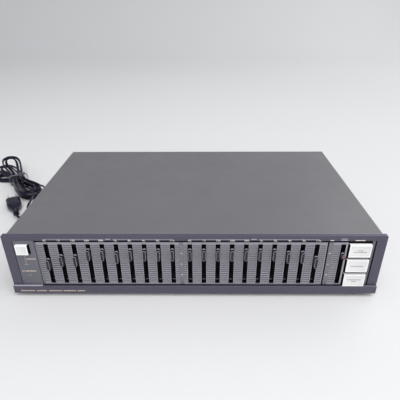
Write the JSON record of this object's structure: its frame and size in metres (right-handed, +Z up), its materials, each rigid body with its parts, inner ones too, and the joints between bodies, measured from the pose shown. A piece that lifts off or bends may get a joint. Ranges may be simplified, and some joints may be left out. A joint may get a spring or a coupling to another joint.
{
  "type": "graphic equalizer",
  "caption": "Slim hi-fi graphic equalizer: dark grey steel case, ribbed panel of vertical sliders, silver push buttons, black mains cord tied in a hank.",
  "frame": {"origin": "on the floor under the feet, at the middle of the box round the whole part, cord included; the case's own middle is at x 0.0935, y -0.0585", "axes": "+Z up, the front panel faces -Y, +X towards the function buttons' end"},
  "size_m": [0.611, 0.3876, 0.0835],
  "materials": {
    "panel_paint": "satin dark grey paint with a faint violet tone",
    "plate_paint": "satin dark grey-green paint",
    "grille_paint": "fine ribs in satin grey paint",
    "case_paint": "fine-textured satin grey paint",
    "plated_steel": "zinc-plated sheet steel",
    "button_plastic": "silver-white satin plastic",
    "knob_plastic": "black plastic with a grey ribbed cap",
    "black_plastic": "black moulded plastic",
    "cord_vinyl": "black vinyl cord",
    "foot_rubber": "black rubber",
    "circuit_board": "tan phenolic board",
    "core_iron": "varnished laminated iron",
    "heatsink_aluminium": "plain extruded aluminium",
    "ribbon_vinyl": "grey ribbon cable"
  },
  "bodies": {
    "case": {"front_panel": "panel_paint", "trim_bar": "panel_paint", "power_plate": "plate_paint", "slider_grille": "grille_paint", "level_grille": "grille_paint", "button_bezel": "plate_paint", "left_slider_pots": "black_plastic", "right_slider_pots": "black_plastic", "level_slider_pot": "black_plastic", "slider_board": "circuit_board", "function_switches": "black_plastic", "power_switch": "black_plastic", "top_cover": "case_paint", "chassis": "plated_steel", "rear_panel": "case_paint", "front_left_foot": "foot_rubber", "rear_left_foot": "foot_rubber", "front_right_foot": "foot_rubber", "rear_right_foot": "foot_rubber", "front_left_cover_screw": "plated_steel", "rear_left_cover_screw": "plated_steel", "front_right_cover_screw": "plated_steel", "rear_right_cover_screw": "plated_steel", "left_lip_screw": "plated_steel", "right_lip_screw": "plated_steel", "main_board": "circuit_board", "ribbon_cable": "ribbon_vinyl", "power_transformer": "core_iron", "regulator_heatsink": "heatsink_aluminium", "line_jacks": "black_plastic", "tape_jacks": "black_plastic", "cord_bushing": "black_plastic", "power_cord": "cord_vinyl", "cord_tie": "black_plastic", "power_plug": "cord_vinyl"},
    "left_band_01": {"left_band_01_knob": "knob_plastic"},
    "left_band_02": {"left_band_02_knob": "knob_plastic"},
    "left_band_03": {"left_band_03_knob": "knob_plastic"},
    "left_band_04": {"left_band_04_knob": "knob_plastic"},
    "left_band_05": {"left_band_05_knob": "knob_plastic"},
    "left_band_06": {"left_band_06_knob": "knob_plastic"},
    "left_band_07": {"left_band_07_knob": "knob_plastic"},
    "left_band_08": {"left_band_08_knob": "knob_plastic"},
    "left_band_09": {"left_band_09_knob": "knob_plastic"},
    "left_band_10": {"left_band_10_knob": "knob_plastic"},
    "right_band_01": {"right_band_01_knob": "knob_plastic"},
    "right_band_02": {"right_band_02_knob": "knob_plastic"},
    "right_band_03": {"right_band_03_knob": "knob_plastic"},
    "right_band_04": {"right_band_04_knob": "knob_plastic"},
    "right_band_05": {"right_band_05_knob": "knob_plastic"},
    "right_band_06": {"right_band_06_knob": "knob_plastic"},
    "right_band_07": {"right_band_07_knob": "knob_plastic"},
    "right_band_08": {"right_band_08_knob": "knob_plastic"},
    "right_band_09": {"right_band_09_knob": "knob_plastic"},
    "right_band_10": {"right_band_10_knob": "knob_plastic"},
    "level": {"level_knob": "knob_plastic"},
    "power": {"power_button": "button_plastic"},
    "tape_monitor": {"tape_monitor_button": "button_plastic"},
    "equalizer": {"equalizer_button": "button_plastic"},
    "recording": {"recording_button": "button_plastic"}
  },
  "joints": [
    {"name": "left_band_01_slide", "type": "slide", "parent": "case", "child": "left_band_01", "axis": [0, 0, 1], "range_m": [-0.0166, 0.0134]},
    {"name": "left_band_02_slide", "type": "slide", "parent": "case", "child": "left_band_02", "axis": [0, 0, 1], "range_m": [-0.022, 0.008]},
    {"name": "left_band_03_slide", "type": "slide", "parent": "case", "child": "left_band_03", "axis": [0, 0, 1], "range_m": [-0.022, 0.008]},
    {"name": "left_band_04_slide", "type": "slide", "parent": "case", "child": "left_band_04", "axis": [0, 0, 1], "range_m": [-0.03, 0]},
    {"name": "left_band_05_slide", "type": "slide", "parent": "case", "child": "left_band_05", "axis": [0, 0, 1], "range_m": [-0.03, 0]},
    {"name": "left_band_06_slide", "type": "slide", "parent": "case", "child": "left_band_06", "axis": [0, 0, 1], "range_m": [-0.0266, 0.0034]},
    {"name": "left_band_07_slide", "type": "slide", "parent": "case", "child": "left_band_07", "axis": [0, 0, 1], "range_m": [-0.03, 0]},
    {"name": "left_band_08_slide", "type": "slide", "parent": "case", "child": "left_band_08", "axis": [0, 0, 1], "range_m": [-0.03, 0]},
    {"name": "left_band_09_slide", "type": "slide", "parent": "case", "child": "left_band_09", "axis": [0, 0, 1], "range_m": [-0.03, 0]},
    {"name": "left_band_10_slide", "type": "slide", "parent": "case", "child": "left_band_10", "axis": [0, 0, 1], "range_m": [-0.03, 0]},
    {"name": "right_band_01_slide", "type": "slide", "parent": "case", "child": "right_band_01", "axis": [0, 0, 1], "range_m": [-0.03, 0]},
    {"name": "right_band_02_slide", "type": "slide", "parent": "case", "child": "right_band_02", "axis": [0, 0, 1], "range_m": [-0.03, 0]},
    {"name": "right_band_03_slide", "type": "slide", "parent": "case", "child": "right_band_03", "axis": [0, 0, 1], "range_m": [-0.03, 0]},
    {"name": "right_band_04_slide", "type": "slide", "parent": "case", "child": "right_band_04", "axis": [0, 0, 1], "range_m": [-0.03, 0]},
    {"name": "right_band_05_slide", "type": "slide", "parent": "case", "child": "right_band_05", "axis": [0, 0, 1], "range_m": [-0.03, 0]},
    {"name": "right_band_06_slide", "type": "slide", "parent": "case", "child": "right_band_06", "axis": [0, 0, 1], "range_m": [-0.03, 0]},
    {"name": "right_band_07_slide", "type": "slide", "parent": "case", "child": "right_band_07", "axis": [0, 0, 1], "range_m": [-0.03, 0]},
    {"name": "right_band_08_slide", "type": "slide", "parent": "case", "child": "right_band_08", "axis": [0, 0, 1], "range_m": [-0.027, 0.003]},
    {"name": "right_band_09_slide", "type": "slide", "parent": "case", "child": "right_band_09", "axis": [0, 0, 1], "range_m": [-0.027, 0.003]},
    {"name": "right_band_10_slide", "type": "slide", "parent": "case", "child": "right_band_10", "axis": [0, 0, 1], "range_m": [-0.0202, 0.0098]},
    {"name": "level_slide", "type": "slide", "parent": "case", "child": "level", "axis": [0, 0, 1], "range_m": [-0.0284, 0.0016]},
    {"name": "power_press", "type": "slide", "parent": "case", "child": "power", "axis": [0, 1, 0], "range_m": [0, 0.003], "stiffness_N_per_m": 300},
    {"name": "tape_monitor_press", "type": "slide", "parent": "case", "child": "tape_monitor", "axis": [0, 1, 0], "range_m": [0, 0.003], "stiffness_N_per_m": 300},
    {"name": "equalizer_press", "type": "slide", "parent": "case", "child": "equalizer", "axis": [0, 1, 0], "range_m": [0, 0.003], "stiffness_N_per_m": 300},
    {"name": "recording_press", "type": "slide", "parent": "case", "child": "recording", "axis": [0, 1, 0], "range_m": [0, 0.003], "stiffness_N_per_m": 300}
  ]
}
